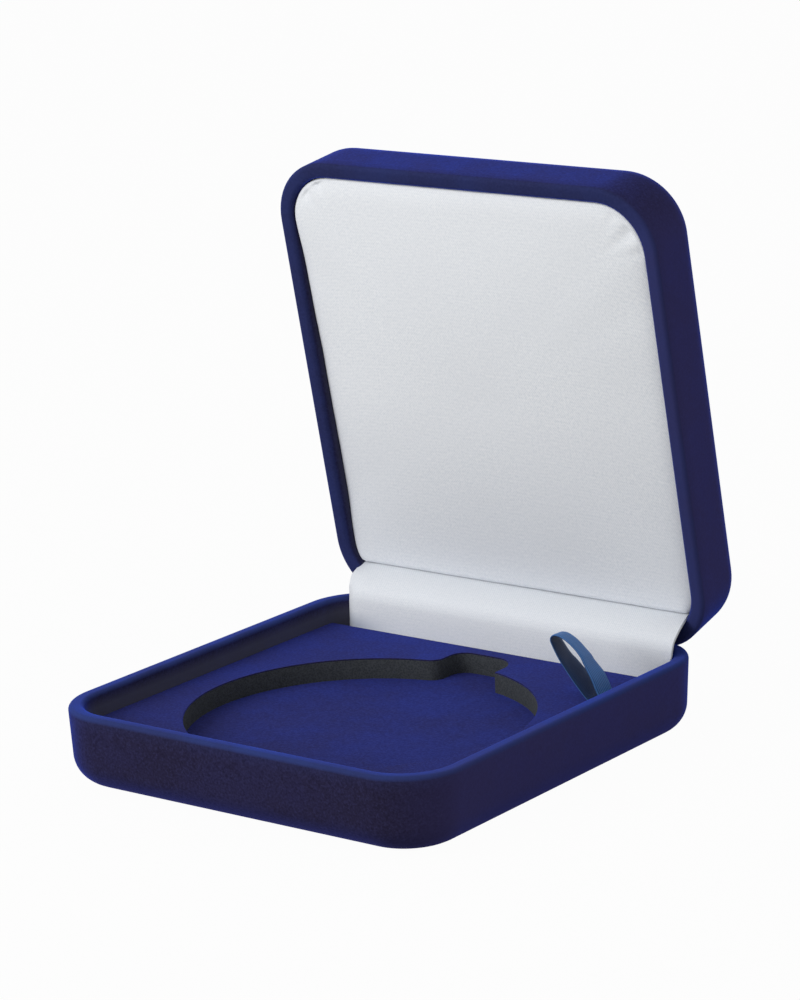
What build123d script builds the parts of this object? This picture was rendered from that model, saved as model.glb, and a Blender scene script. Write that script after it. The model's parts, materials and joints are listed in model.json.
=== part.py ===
from build123d import *
import math
import os

# Medal presentation case, standing open on a table.
# X runs along the hinge, Y points to the back, Z up; the origin is the middle of the underside.
# The lid's pieces are drawn closed, then turned back about the hinge line.

# Recess for a medal, in millimetres; the case is laid out round it
recess_radius = 35.45
recess_depth = 4.4
notch_width = 15.0
notch_reach = 7.6           # past the recess's circle
notch_side = 1.0            # from the middle of the case
notch_round = 3.4
side_border = 11.55         # from the recess to the outside of the rim
front_border = 7.55
rear_border = 3.35          # from the notch to the insert's rear edge
hinge_bay = 11.3            # from the flap's face to the outside of the rear rim
tray_depth = 4.95           # from the rim down to the insert

# Case
corner_radius = 13.5        # plan corner of the rim
edge_radius = 6.1           # round between the walls and the flat face
wall_draft = 3.0            # degrees that each wall leans in, away from the rim
rim_gap = 0.3               # between the two rims when the case is shut
shell_wall = 2.2
velour = 0.5                # pile and backing of the covering
rim_round = 1.0             # soft edge of the covered rim
lining_depth = 8.0          # the covering's turn down inside the walls
overrun = 2.0               # how far a cut runs past what it cuts
edge_steps = 3              # flats that make up each round of the walls
hidden_steps = 2

# Underside
sheet_thick = 0.6
sheet_inset = 7.8           # from the rim's plan to the sheet's edge
turn_under = 8.0            # covering glued beneath the base
sheet_corner = 6.0

# Hinge
open_angle = 79.0           # degrees from shut to open
hinge_inset = 2.15          # hinge line from the rear face of the rim
bevel_clear = 0.15          # each rear rim, from the plane where the two would meet
hinge_spread = 24.0         # each hinge, from the middle of the case
pin_radius = 0.6
pin_clear = 0.08
pin_end = 0.4               # of the pin, past each outer knuckle
knuckle_wall = 0.6
outer_knuckle = 3.0
middle_knuckle = 5.0
knuckle_gap = 0.3
notch_clear = 0.4           # around the knuckles, in the rear rims
leaf_thick = 0.7
leaf_length = 10.9          # along the wall, from the hinge line
leaf_gap = 0.05
rivet_radius = 0.75
rivet_head_radius = 1.4
rivet_head = 0.6
rivet_spacing = 8.4
rivet_drop = 8.7            # from the hinge line
spring_thick = 0.4
spring_width = 5.0
spring_foot = 3.0           # of the spring, flat on each leaf
spring_reach = 7.7          # from the hinge line to where the spring leaves a leaf
spring_bend = 1.6
# Middle of the spring: towards the back as a share of the space behind the flap, up as one of its reach
spring_route_shares = [(-0.64, -0.5), (-0.55, 0.29), (0.09, 0.57)]

# Insert
insert_fit = 0.35           # between the insert and the walls round it
insert_seat = 0.2           # under the insert's board
board_thick = 1.5
riser_thick = 1.7
riser_width = 11.0

# Pull loop
loop_width = 6.2
loop_thick = 0.6
loop_side = 9.4             # middle of its slit, from the outside of the rim
loop_back = 15.3            # and from the insert's rear edge
loop_turn = 14.0            # degrees that the loop is turned about the vertical
loop_leg_gap = 2.6          # between the two legs in the slit
loop_height = 12.0
loop_lean = 9.6             # of its top, towards the middle of the case
loop_bend = 1.5
slit_clear = 0.3
# Corners of the loop above the slit, of its lean and its height, and each bend's radius, of loop_bend
loop_route_shares = [(-0.62, 0.40), (-1.09, 1), (-0.76, 1), (-0.10, 0.42)]
loop_radius_shares = [0.8, 2, 0.75, 1.1, 3.2, 0.8]

# Hinge flap
flap_thick = 0.8
flap_clear = 0.3            # from the insert, and from the floor behind it
flap_side = 5.9             # each end, from the outside of the rim
flap_foot_side = 8.1
flap_tail_side = 6.8
flap_end_width = 5.6        # of the part that curls back
flap_curl = 4.1             # how far the ends curl back from the face
flap_bend_rise = 0.5        # from the hinge line to where it starts to lean back
flap_tail = 6.3             # tucked in behind the pad
# Below the bend: height, as a share of the bend's, and curl, as a share of the full one
flap_stand_shares = [(0.42, 0.86), (0.73, 0.97)]
flap_foot_curl_share = 0.25
# Cuts through the bend: back and up, as shares of its size, its direction in degrees, and its curl
flap_bend_shares = [
    (0, 0, 88, 1),
    (0.022, 0.24, 73, 0.88),
    (0.11, 0.5, 48, 0.77),
    (0.34, 0.75, 26, 0.6),
]
flap_end_curl_share = 0.06

# Lid pad
pad_edge_depth = 2.9        # from the lid's rim to the line where the pad meets the walls
pad_fit = 0.15
pad_end_inset = 8.1         # rear end of the pad, from the outside of the rim
pad_shoulder = 2.6          # width of its rounded edge
pad_rise = 1.0              # height of that edge
pad_crown = 0.6             # its middle, above the edge
pad_shoulder_shares = [(0, 0), (0.3, 0.62), (1, 1)]      # in, and up
satin = 0.4
foam_thick = 7.0
pad_board_thick = 1.6

# Worked out from the above
draft = math.tan(math.radians(wall_draft))
floor_top = sheet_thick + velour + shell_wall
board_under = floor_top + riser_thick + insert_seat
board_top = board_under + board_thick
recess_floor = board_top + velour
insert_top = recess_floor + recess_depth
rim = insert_top + tray_depth
case_width = 2 * (recess_radius + side_border)
case_depth = front_border + 2 * recess_radius + notch_reach + rear_border + flap_clear + hinge_bay
recess_back = front_border + recess_radius - case_depth / 2     # centre of the recess, along Y
flap_rear = case_depth / 2 - hinge_bay      # face of the flap, along Y
insert_rear = flap_rear - flap_clear
pad_end = case_depth / 2 - pad_end_inset
lining = 2 * velour + shell_wall            # outer face of the covering to its inner face
hinge_y = case_depth / 2 - hinge_inset
hinge_z = rim + rim_gap / 2
closed_height = 2 * hinge_z
knuckle_radius = pin_radius + pin_clear + knuckle_wall
knuckle_length = 2 * (outer_knuckle + knuckle_gap) + middle_knuckle
loop_x = case_width / 2 - loop_side
loop_y = insert_rear - loop_back
flap_foot = floor_top + flap_clear
flap_bend_start = hinge_z + flap_bend_rise
flap_reach = case_width / 2 - flap_side     # half width over the curled ends
flap_foot_reach = case_width / 2 - flap_foot_side
flap_tail_reach = case_width / 2 - flap_tail_side
flap_straight = flap_reach - flap_end_width
lid_rim = closed_height - rim
pad_face = lid_rim + pad_edge_depth
pad_board_face = pad_face + foam_thick
pad_board_back = pad_board_face + pad_board_thick
lid_ceiling = closed_height - velour - shell_wall
hinge_line = Axis((0, hinge_y, hinge_z), (1, 0, 0))
span = 2 * (case_width + case_depth)        # longer than anything in the case


# Plan of the walls, a distance in from the outside of the rim, with its corners round the same centres
def plan(inset):
    return RectangleRounded(case_width - 2 * inset, case_depth - 2 * inset, corner_radius - inset)


def leaning(inset, z):
    return inset + draft * (rim - z)


def quarter(steps):
    return [math.radians(90 * step / steps) for step in range(steps + 1)]


# The space inside the walls, or inside a surface a distance in from them. Its lower edge is rounded by foot.
# Its upper edge is rounded by brow, and where brow is negative the space flares out past the rim instead.
def form(inset, low, high, foot=0.0, brow=0.0, steps=edge_steps):
    stations = []
    wall = leaning(inset, low + foot)
    for angle in quarter(steps) if foot else [math.pi / 2]:
        stations.append((wall + foot * (1 - math.sin(angle)), low + foot * (1 - math.cos(angle))))
    size = abs(brow)
    wall = leaning(inset, high - size)
    for angle in quarter(hidden_steps) if brow else [0]:
        stations.append((wall + brow * (1 - math.cos(angle)), high - size + size * math.sin(angle)))
    if brow < 0:
        stations.append((wall + brow, high + overrun))
    return loft([Pos(0, 0, z) * plan(distance) for distance, z in stations], ruled=True)


# A strip along X with the given outline in Y and Z
def along_x(points, length, middle=0.0):
    face = make_face(Polyline(*points, close=True))
    return extrude(Plane.YZ.offset(middle - length / 2) * face, amount=length)


def rod(radius, length, middle=0.0, y=hinge_y, z=hinge_z):
    return extrude(Plane.YZ.offset(middle - length / 2) * Pos(y, z) * Circle(radius), amount=length)


# From the base's frame to the shut lid's: the lid is the same case, upside down
def flipped(body):
    return mirror(body, about=Plane.XY.offset(hinge_z))


def opened(body):
    return body.rotate(hinge_line, -open_angle)


def opened_point(y, z):
    turn = math.radians(open_angle)
    dy, dz = y - hinge_y, z - hinge_z
    return (
        hinge_y + dy * math.cos(turn) + dz * math.sin(turn),
        hinge_z - dy * math.sin(turn) + dz * math.cos(turn),
    )


# The rear rim is bevelled, so that the two rims meet only when the lid is open
def rear_relief():
    slope = math.radians(open_angle / 2)
    top = hinge_z - bevel_clear / math.cos(slope)
    reach = corner_radius
    wedge = along_x([
        (hinge_y, top),
        (hinge_y + reach, top - reach * math.tan(slope)),
        (hinge_y + reach, hinge_z + overrun),
        (hinge_y, hinge_z + overrun),
    ], span)
    for side in (-1, 1):
        wedge += rod(knuckle_radius + notch_clear, knuckle_length + 2 * notch_clear, side * hinge_spread)
    return wedge


def leaf_face(z):
    return case_depth / 2 - lining - draft * (rim - z) - leaf_gap


# Rivets stand square to the leaning wall
def rivet_planes():
    z = hinge_z - rivet_drop
    lean = math.radians(wall_draft)
    for side in (-1, 1):
        for end in (-1, 1):
            x = side * hinge_spread + end * rivet_spacing / 2
            yield Plane((x, leaf_face(z) - leaf_thick, z), x_dir=(1, 0, 0),
                        z_dir=(0, math.cos(lean), -math.sin(lean)))


def rivet_shanks():
    reach = (leaf_thick + leaf_gap + lining - velour) * math.cos(math.radians(wall_draft))
    return [extrude(place * Circle(rivet_radius), amount=reach) for place in rivet_planes()]


def hard_shell(low):
    outer = form(velour, low + velour, rim - velour, edge_radius - velour, steps=hidden_steps)
    inside = velour + shell_wall
    inner = form(inside, low + inside, rim + overrun, edge_radius - inside, steps=hidden_steps)
    return outer - inner - rear_relief() - rivet_shanks()


def covering(low):
    skin = form(0, low, rim, edge_radius, rim_round)
    skin -= form(velour, low + velour, rim - velour, edge_radius - velour, steps=hidden_steps)
    skin += form(velour + shell_wall, rim - lining_depth, rim - velour)
    skin -= form(lining, rim - lining_depth - overrun, rim, brow=-rim_round)
    return skin - rear_relief() - rivet_shanks()


def base_shell():
    return hard_shell(sheet_thick)


def sheet_plan(inset):
    return RectangleRounded(case_width - 2 * inset, case_depth - 2 * inset, sheet_corner)


def base_velour():
    hole = extrude(sheet_plan(sheet_inset + turn_under), amount=sheet_thick + velour + overrun)
    return covering(sheet_thick) - hole


def base_bottom_sheet():
    return extrude(sheet_plan(sheet_inset), amount=sheet_thick)


def lid_shell():
    return opened(flipped(hard_shell(0)))


def lid_velour():
    return opened(flipped(covering(0)))


# Base leaf of one hinge: a strip riveted to the rear wall and rolled round the pin
def leaf(middle, gaps):
    low = hinge_z - leaf_length
    neck = hinge_z - 2 * knuckle_wall
    strip = along_x([
        (leaf_face(low), low),
        (leaf_face(neck), neck),
        (hinge_y - pin_radius - pin_clear, hinge_z),
        (leaf_face(hinge_z) - leaf_thick, hinge_z),
        (leaf_face(low) - leaf_thick, low),
    ], knuckle_length, middle)
    roll = rod(knuckle_radius, knuckle_length, middle)
    body = strip + roll - rod(pin_radius + pin_clear, span, middle)
    for shank in rivet_shanks():
        body -= shank
    room = 2 * (knuckle_radius + leaf_thick)
    for start, end in gaps:
        body -= Pos(middle + (start + end) / 2, hinge_y, hinge_z) * Box(end - start, room, room)
    return body


def base_leaf(middle):
    half = middle_knuckle / 2 + knuckle_gap
    return leaf(middle, [(-half, half)])


def lid_leaf(middle):
    near = middle_knuckle / 2
    far = knuckle_length / 2 + knuckle_gap
    return opened(flipped(leaf(middle, [(-far, -near), (near, far)])))


def hinge_pin(middle):
    return rod(pin_radius, knuckle_length + 2 * pin_end, middle)


def rivets():
    group = []
    for place, shank in zip(rivet_planes(), rivet_shanks()):
        group.append(shank + extrude(place * Circle(rivet_head_radius), amount=-rivet_head))
    return group


# Bow spring that pulls its two feet together, so the lid snaps to either end of its swing
def hinge_spring(middle):
    low = hinge_z - spring_reach
    foot_y = leaf_face(low) - leaf_thick - leaf_gap - spring_thick / 2
    foot = low - spring_foot
    foot_slope = draft * spring_foot
    space = hinge_y - flap_rear - flap_thick
    start = (foot_y - foot_slope, foot)
    leave = (foot_y, low)
    route = [(hinge_y + space * back, hinge_z + spring_reach * up) for back, up in spring_route_shares]
    land = opened_point(foot_y, 2 * hinge_z - low)
    end = opened_point(foot_y - foot_slope, 2 * hinge_z - foot)
    line = FilletPolyline(start, leave, *route, land, end, radius=spring_bend)
    strip = trace(line, line_width=spring_thick)
    return extrude(Plane.YZ.offset(middle - spring_width / 2) * strip, amount=spring_width)


# Plan of a panel that fits in a shell: rounded with the walls, and cut off straight at the back
def panel(inset, rear):
    return plan(inset) & Pos(0, rear - span / 2) * Rectangle(span, span)


# A layer of the insert, whose sides lean with the walls
def insert_layer(low, high):
    faces = [Pos(0, 0, z) * panel(leaning(lining, z) + insert_fit, insert_rear) for z in (low, high)]
    return loft(faces, ruled=True)


def recess_plan():
    top = recess_back + recess_radius + notch_reach
    eyelet = Pos(notch_side, top - notch_width) * RectangleRounded(notch_width, 2 * notch_width, notch_round)
    return Pos(0, recess_back) * Circle(recess_radius) + eyelet


def through(outline):
    return Pos(0, 0, board_top) * extrude(outline, amount=insert_top - board_top + overrun)


def loop_slit():
    slit = Rectangle(loop_leg_gap + loop_thick + 2 * slit_clear, loop_width + 2 * slit_clear)
    return Pos(loop_x, loop_y) * Rot(0, 0, loop_turn) * slit


def insert_board():
    return insert_layer(board_under, board_top)


def insert_floor_velour():
    return Pos(0, 0, board_top) * extrude(recess_plan(), amount=velour)


def insert_foam():
    return insert_layer(board_top, insert_top - velour) - through(recess_plan()) - through(loop_slit())


def insert_top_velour():
    return insert_layer(insert_top - velour, insert_top) - through(recess_plan()) - through(loop_slit())


# Card frame that the insert's board rests on
def insert_riser():
    outline = panel(leaning(edge_radius, floor_top), insert_rear)
    window = offset(outline, amount=-riser_width)
    return Pos(0, 0, floor_top) * extrude(outline - window, amount=riser_thick)


# Ribbon loop, seen along its width: both legs stand in the slit and the top leans inward
def pull_loop():
    half = loop_leg_gap / 2
    foot = board_top - insert_top
    route = [(loop_lean * across, loop_height * up) for across, up in loop_route_shares]
    radii = [loop_bend * share for share in loop_radius_shares]
    line = FilletPolyline((-half, foot), (-half, 0), *route, (half, 0), (half, foot), radius=radii)
    strip = trace(line, line_width=loop_thick)
    place = Plane((0, loop_width / 2, 0), x_dir=(1, 0, 0), z_dir=(0, -1, 0))
    body = extrude(place * strip, amount=loop_width)
    return Pos(loop_x, loop_y, insert_top) * Rot(0, 0, loop_turn) * body


# One cut across the flap: a straight middle, and two ends that curl to the hidden side
def flap_section(y, z, direction, reach, curl):
    across = reach - flap_straight
    radius = (across ** 2 + curl ** 2) / (2 * curl)
    turn = 2 * math.atan2(curl, across)
    aim = math.radians(direction)
    place = Plane((0, y, z), x_dir=(1, 0, 0), z_dir=(0, math.cos(aim), math.sin(aim)))

    def on(distance, angle):
        return (flap_straight + distance * math.sin(angle), radius - distance * math.cos(angle))

    def left(point):
        return (-point[0], point[1])

    front = [on(radius, angle) for angle in (0, turn / 2, turn)]
    back = [on(radius - flap_thick, angle) for angle in (0, turn / 2, turn)]
    edges = [
        Line(left(front[0]), front[0]),
        ThreePointArc(*front),
        Line(front[2], back[2]),
        ThreePointArc(*reversed(back)),
        Line(back[0], left(back[0])),
        ThreePointArc(*[left(point) for point in back]),
        Line(left(back[2]), left(front[2])),
        ThreePointArc(*[left(point) for point in reversed(front)]),
    ]
    return place * make_face(edges)


# Satin over card: it stands behind the insert, bends back over the hinge and tucks in behind the pad
def hinge_flap():
    entry = opened_point(pad_end + leaf_gap, pad_face)
    tail = opened_point(pad_end + leaf_gap, pad_face + flap_tail)
    aim = 90 - open_angle
    run = entry[0] - flap_rear
    rise = entry[1] - flap_bend_start
    cuts = [(flap_rear, flap_foot, 90, flap_foot_reach, flap_curl * flap_foot_curl_share)]
    for up, curl in flap_stand_shares:
        cuts.append((flap_rear, flap_bend_start * up, 90, flap_reach, flap_curl * curl))
    for back, up, direction, curl in flap_bend_shares:
        place = (flap_rear + run * back, flap_bend_start + rise * up)
        cuts.append((*place, direction, flap_reach, flap_curl * curl))
    cuts.append((*entry, aim, flap_reach, flap_curl * flap_end_curl_share))
    cuts.append((*tail, aim, flap_tail_reach, flap_curl * flap_end_curl_share))
    return loft([flap_section(*cut) for cut in cuts], ruled=True)


# Plan of the pad at a height in the shut lid
def pad_plan(z, shrink=0.0):
    return panel(lining + draft * (z - lid_rim) + pad_fit + shrink, pad_end - shrink)


# Crowned cushion, face down as it lies in the shut lid. Its edge rounds over, and a large ball shapes its face.
def pad_form(skin):
    face = pad_face + skin
    sections = [Pos(0, 0, pad_board_face) * pad_plan(pad_board_face, skin)]
    for in_share, rise_share in pad_shoulder_shares:
        outline = pad_plan(pad_face, skin + pad_shoulder * in_share)
        sections.append(Pos(0, 0, face - pad_rise * rise_share) * outline)
    top = face - pad_rise - pad_crown
    sections.append(Pos(0, 0, top) * outline)
    half = outline.bounding_box().size.X / 2
    radius = (half ** 2 + pad_crown ** 2) / (2 * pad_crown)
    ball = Pos(0, outline.center().Y, top + radius) * Rot(90, 0, 0) * Sphere(radius)
    return loft(sections, ruled=True) & ball


def lid_pad_foam():
    return opened(pad_form(satin))


def lid_pad_satin():
    return opened(pad_form(0) - pad_form(satin))


def lid_pad_board():
    return opened(Pos(0, 0, pad_board_face) * extrude(pad_plan(pad_board_back), amount=pad_board_thick))


def lid_riser():
    outline = pad_plan(lid_ceiling, edge_radius)
    window = offset(outline, amount=-riser_width)
    thick = lid_ceiling - pad_board_back
    return opened(Pos(0, 0, pad_board_back) * extrude(outline - window, amount=thick))


def write(name, body):
    solids = body.solids() if hasattr(body, "solids") else [solid for item in body for solid in item.solids()]
    shape = solids[0] if len(solids) == 1 else Compound(children=solids)
    shape.label = name
    export_step(shape, "parts/" + name + ".step")
    print(name, len(solids), "solids", round(sum(solid.volume for solid in solids), 1), "mm3")


os.makedirs("parts", exist_ok=True)
write("base_shell", base_shell())
write("base_velour", base_velour())
write("base_bottom_sheet", base_bottom_sheet())
write("insert_riser", insert_riser())
write("hinge_base_rivets", rivets())
write("hinge_lid_rivets", [opened(flipped(rivet)) for rivet in rivets()])
for side, name in ((-1, "left"), (1, "right")):
    middle = side * hinge_spread
    write("hinge_base_leaf_" + name, base_leaf(middle))
    write("hinge_lid_leaf_" + name, lid_leaf(middle))
    write("hinge_pin_" + name, hinge_pin(middle))
    write("hinge_spring_" + name, hinge_spring(middle))
write("hinge_flap", hinge_flap())
write("lid_shell", lid_shell())
write("lid_velour", lid_velour())
write("lid_riser", lid_riser())
write("lid_pad_board", lid_pad_board())
write("lid_pad_foam", lid_pad_foam())
write("lid_pad_satin", lid_pad_satin())
write("insert_board", insert_board())
write("insert_floor_velour", insert_floor_velour())
write("insert_foam", insert_foam())
write("insert_top_velour", insert_top_velour())
write("pull_loop", pull_loop())
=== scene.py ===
import json
import math
import bmesh
import bpy
from mathutils import Matrix, Vector, kdtree, noise


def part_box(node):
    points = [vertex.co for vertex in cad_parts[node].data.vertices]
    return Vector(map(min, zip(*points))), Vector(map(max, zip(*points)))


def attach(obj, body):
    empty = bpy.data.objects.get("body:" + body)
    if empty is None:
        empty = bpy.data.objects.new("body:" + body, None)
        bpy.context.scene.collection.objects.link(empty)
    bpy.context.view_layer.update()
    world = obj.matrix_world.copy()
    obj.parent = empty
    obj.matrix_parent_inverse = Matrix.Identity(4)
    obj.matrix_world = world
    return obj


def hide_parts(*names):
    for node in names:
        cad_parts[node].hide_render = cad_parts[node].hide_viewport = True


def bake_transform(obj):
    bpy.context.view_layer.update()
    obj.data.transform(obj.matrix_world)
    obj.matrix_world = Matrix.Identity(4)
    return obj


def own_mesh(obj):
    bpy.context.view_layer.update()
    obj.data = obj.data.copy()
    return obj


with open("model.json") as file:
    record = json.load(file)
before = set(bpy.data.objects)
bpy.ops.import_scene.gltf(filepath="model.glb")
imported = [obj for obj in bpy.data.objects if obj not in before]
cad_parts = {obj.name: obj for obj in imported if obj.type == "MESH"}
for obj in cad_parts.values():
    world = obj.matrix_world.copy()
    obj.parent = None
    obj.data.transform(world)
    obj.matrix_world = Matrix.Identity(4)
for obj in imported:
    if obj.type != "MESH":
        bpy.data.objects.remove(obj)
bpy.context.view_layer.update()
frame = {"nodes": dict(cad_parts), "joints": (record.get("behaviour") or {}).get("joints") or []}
mm = 0.001
print("frame loaded:", len(frame["nodes"]), "pieces")

# The case's own measures, from the frame where it has them
coverLow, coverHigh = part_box("base_velour")
hinge = next(joint for joint in frame["joints"] if joint["name"] == "lid_hinge")
hingeY, hingeZ = hinge["pos_m"][1:]
openAngle = math.radians(hinge["range_deg"][1])

case = {
    "width": coverHigh.x - coverLow.x,
    "depth": -2 * coverLow.y,
    "rim": coverHigh.z,
    "foot": coverLow.z,
    "cornerRadius": 13.5 * mm,  # plan corner at the rim
    "edgeRadius": 6.1 * mm,  # between the walls and the flat face
    "draft": math.tan(math.radians(3)),
    "wall": 3.2 * mm,  # outside to inside, covering included
    "rimRound": 1.0 * mm,
    "cover": 0.42 * mm,  # thickness of the covering
    "lining": 8.0 * mm,  # how far it turns down inside the walls
    "turnUnder": 15.8 * mm,  # where it ends beneath the base, from the rim's plan
    "bevelGap": 0.07 * mm,  # rear rims, from the plane where they would meet
    "bevelSoft": 0.5 * mm,
    "faceMiddle": 6 * mm,  # half width of the cap in the lid's face
    "facePlaces": (6 * mm, 2 * mm),  # rings on the flat face, in from where its edge begins
    "wallShares": (0.25, 0.5, 0.75),
    "liningShares": (0.3, 0.65, 1),
    "cornerSteps": 16,
    "sideSteps": 12,
    "edgeSteps": 12,
    "rimSteps": 7,
    "panelSteps": 14,
    "smallestCorner": 0.4 * mm,
    "rimPaintReach": 1.15,  # of the rim's round, where the rubbed wear and painted sheen end
    "lidRimShare": 0.6,  # how much wear and painted sheen the lid's rim gets beside the base's
    "footShadeTop": 6.5 * mm,  # of the painted shade round the base's foot
    "footShadeFade": 4.5 * mm,
    "rightLightReach": 1.25,  # of the edge's round, where the painted light on the right side ends on the face
    "rightLightPower": 3,  # how soon it ends round a corner
    "notchRadius": 1.66 * mm,  # room for the knuckles in the rear rims
    "notchLength": 12.4 * mm,
    "notchSpread": 24 * mm,
    "notchFacets": 40,
}
# Middle of the plan's corner at the back and the right
cornerX = case["width"] / 2 - case["cornerRadius"]
cornerY = case["depth"] / 2 - case["cornerRadius"]
lidRim = 2 * hingeZ - case["rim"]
toHinge = Matrix.Translation((0, hingeY, hingeZ))
flipOver = toHinge @ Matrix.Scale(-1, 4, (0, 0, 1)) @ toHinge.inverted()
openUp = toHinge @ Matrix.Rotation(-openAngle, 4, "X") @ toHinge.inverted()


def clamped(value):
    return min(max(value, 0), 1)


# How far in a wall's face lies at a height, for the draft of the mould
def lean(inset, z):
    return inset + case["draft"] * (case["rim"] - z)


def arc(centreX, centreY, radius, start, end, steps):
    angles = [math.radians(start + (end - start) * step / steps) for step in range(steps + 1)]
    return [(centreX + radius * math.cos(a), centreY + radius * math.sin(a)) for a in angles]


# The way along a line at one of its points
def wayAt(line, k):
    before, after = line[max(k - 1, 0)], line[min(k + 1, len(line) - 1)]
    return Vector([b - a for a, b in zip(before, after)]).normalized()


def inScene(name, data):
    piece = bpy.data.objects.new(name, data)
    bpy.context.scene.collection.objects.link(piece)
    return piece


# One change to a mesh, and its faces then look outwards
def mend(mesh, change):
    shape = bmesh.new()
    shape.from_mesh(mesh)
    change(shape)
    bmesh.ops.recalc_face_normals(shape, faces=shape.faces)
    shape.to_mesh(mesh)
    shape.free()


def meshObject(name, points, faces, smoothAngle=40):
    mesh = bpy.data.meshes.new(name)
    mesh.from_pydata([tuple(p) for p in points], [], faces)
    mend(mesh, lambda shape: bmesh.ops.remove_doubles(shape, verts=shape.verts, dist=1e-7))
    piece = inScene(name, mesh)
    smooth(piece, smoothAngle)
    return piece


# A number at each point, which a material reads by its name
def paint(piece, name, valueAt):
    layer = piece.data.attributes.new(name, "FLOAT", "POINT")
    for vertex in piece.data.vertices:
        layer.data[vertex.index].value = valueAt(vertex.co)


def smooth(piece, angle=40):
    for face in piece.data.polygons:
        face.use_smooth = True
    piece.data.set_sharp_from_angle(angle=math.radians(angle))


# Faces between rings of the same number of points, with a cap on the first and the last if wanted
def ringFaces(count, size, looped=False, capped=False):
    faces = []
    for row in range(count if looped else count - 1):
        below = row * size
        above = (row + 1) % count * size
        for k in range(size):
            after = (k + 1) % size
            faces.append((below + k, below + after, above + after, above + k))
    if capped:
        faces.append(tuple(range(size)))
        faces.append(tuple(range((count - 1) * size, count * size)))
    return faces


def finalMesh(piece):
    bpy.context.view_layer.update()
    graph = bpy.context.evaluated_depsgraph_get()
    return bpy.data.meshes.new_from_object(piece.evaluated_get(graph))


def applied(piece):
    mesh = finalMesh(piece)
    piece.modifiers.clear()
    piece.data = mesh


def cutAway(piece, cutters):
    for cutter in cutters:
        cut = piece.modifiers.new("cut", "BOOLEAN")
        cut.operation = "DIFFERENCE"
        cut.solver = "EXACT"
        cut.object = cutter
    applied(piece)
    for cutter in cutters:
        bpy.data.objects.remove(cutter)
    return piece


# Shader helper: sums on values are written in Python and add their Math nodes
class Tap:
    def __init__(self, tree, socket=None):
        self.tree = tree
        self.socket = socket

    def node(self, kind, settings, sockets, out=0):
        made = self.tree.nodes.new("ShaderNode" + kind)
        for name, value in settings.items():
            setattr(made, name, value)
        for name, value in sockets.items():
            socket = made.inputs[name]
            if isinstance(value, Tap):
                self.tree.links.new(value.socket, socket)
            else:
                socket.default_value = value
        return Tap(self.tree, made.outputs[out] if made.outputs else None)

    def sum(self, operation, first, second=0.0):
        return self.node("Math", {"operation": operation}, {0: first, 1: second})

    def __add__(self, other):
        return self.sum("ADD", self, other)

    def __radd__(self, other):
        return self.sum("ADD", other, self)

    def __sub__(self, other):
        return self.sum("SUBTRACT", self, other)

    def __rsub__(self, other):
        return self.sum("SUBTRACT", other, self)

    def __mul__(self, other):
        return self.sum("MULTIPLY", self, other)

    def __rmul__(self, other):
        return self.sum("MULTIPLY", other, self)

    def larger(self, other):
        return self.sum("MAXIMUM", self, other)

    def ripple(self):  # 0 to 1 and back as the value goes round a circle
        return self.sum("SINE", self) * 0.5 + 0.5

    def between(self, low, high):  # 0 to 1 as the value goes from low to high
        return self.node("MapRange", {"interpolation_type": "SMOOTHSTEP"},
                         {"Value": self, "From Min": low, "From Max": high})

    def mix(self, first, second):  # colours, by this value
        sockets = {0: self, 6: first, 7: second}
        return self.node("Mix", {"data_type": "RGBA"}, sockets, out=2)


# A material, whose surface one of the functions below makes from its look
def newMaterial(name, surface, look):
    material = bpy.data.materials.new(name)
    material.use_nodes = True
    material.node_tree.nodes.clear()
    tap = Tap(material.node_tree)
    tap.node("OutputMaterial", {}, {"Surface": surface(tap, look)})
    return material


def ownPlace(tap):
    return tap.node("TexCoord", {}, {}, out="Object")


def painted(tap, name):
    return tap.node("Attribute", {"attribute_name": name}, {}, out="Fac")


def cloudy(tap, place, size, detail, rough):
    sockets = {"Vector": place, "Scale": 1 / size, "Detail": detail, "Roughness": rough}
    return tap.node("TexNoise", {}, sockets)


# A surface of a look: what varies over it, and the sockets that the look gives as they are
def principled(tap, look, tone, rough, height, fixed="fixed"):
    strength, depth = look["bump"]
    bump = tap.node("Bump", {}, {"Strength": strength, "Distance": depth, "Height": height})
    sockets = {"Base Color": tone, "Roughness": rough + look["roughness"], "Normal": bump}
    return tap.node("BsdfPrincipled", {}, {**sockets, **look.get(fixed, {})}, out="BSDF")


def colour(red, green, blue):
    return (red, green, blue, 1)


velourLook = {
    "shade": colour(0.0170, 0.0135, 0.033),
    "brushed": colour(0.0205, 0.0175, 0.050),
    "liningLight": colour(0.066, 0.066, 0.092),  # painted light on the lining inside the walls
    "rimWearAndSheen": colour(0.024, 0.038, 0.145),  # rubbed wear with painted sheen along the rims
    "rightSideLight": colour(0.048, 0.041, 0.130),  # painted light on the right side
    "lint": colour(0.10, 0.11, 0.22),
    "sunk": colour(0.0085, 0.0065, 0.018),  # between the tufts
    "risen": colour(0.0290, 0.0270, 0.074),  # and on them
    "tuftShare": 0.6,
    "rightSideLightShare": 0.65,
    "liningLightShare": 0.85,
    "lintShare": 0.6,
    "pileSize": 0.5 * mm,
    "mottleSize": 1.4 * mm,
    "brushSize": 14 * mm,
    "lintSpacing": 9 * mm,
    "lintSize": 0.016,
    "bump": (0.5, 0.08 * mm),  # strength and depth
    "roughness": 0.92,
    "standing": {
        "Specular IOR Level": 0.08,
        "Sheen Weight": 1.0,
        "Sheen Roughness": 0.38,
        "Sheen Tint": colour(0.038, 0.110, 0.92),
    },
    "lying": {
        "Specular IOR Level": 0.08,
        "Sheen Weight": 0.45,
        "Sheen Roughness": 0.38,
        "Sheen Tint": colour(0.10, 0.12, 0.72),
    },
}
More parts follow.
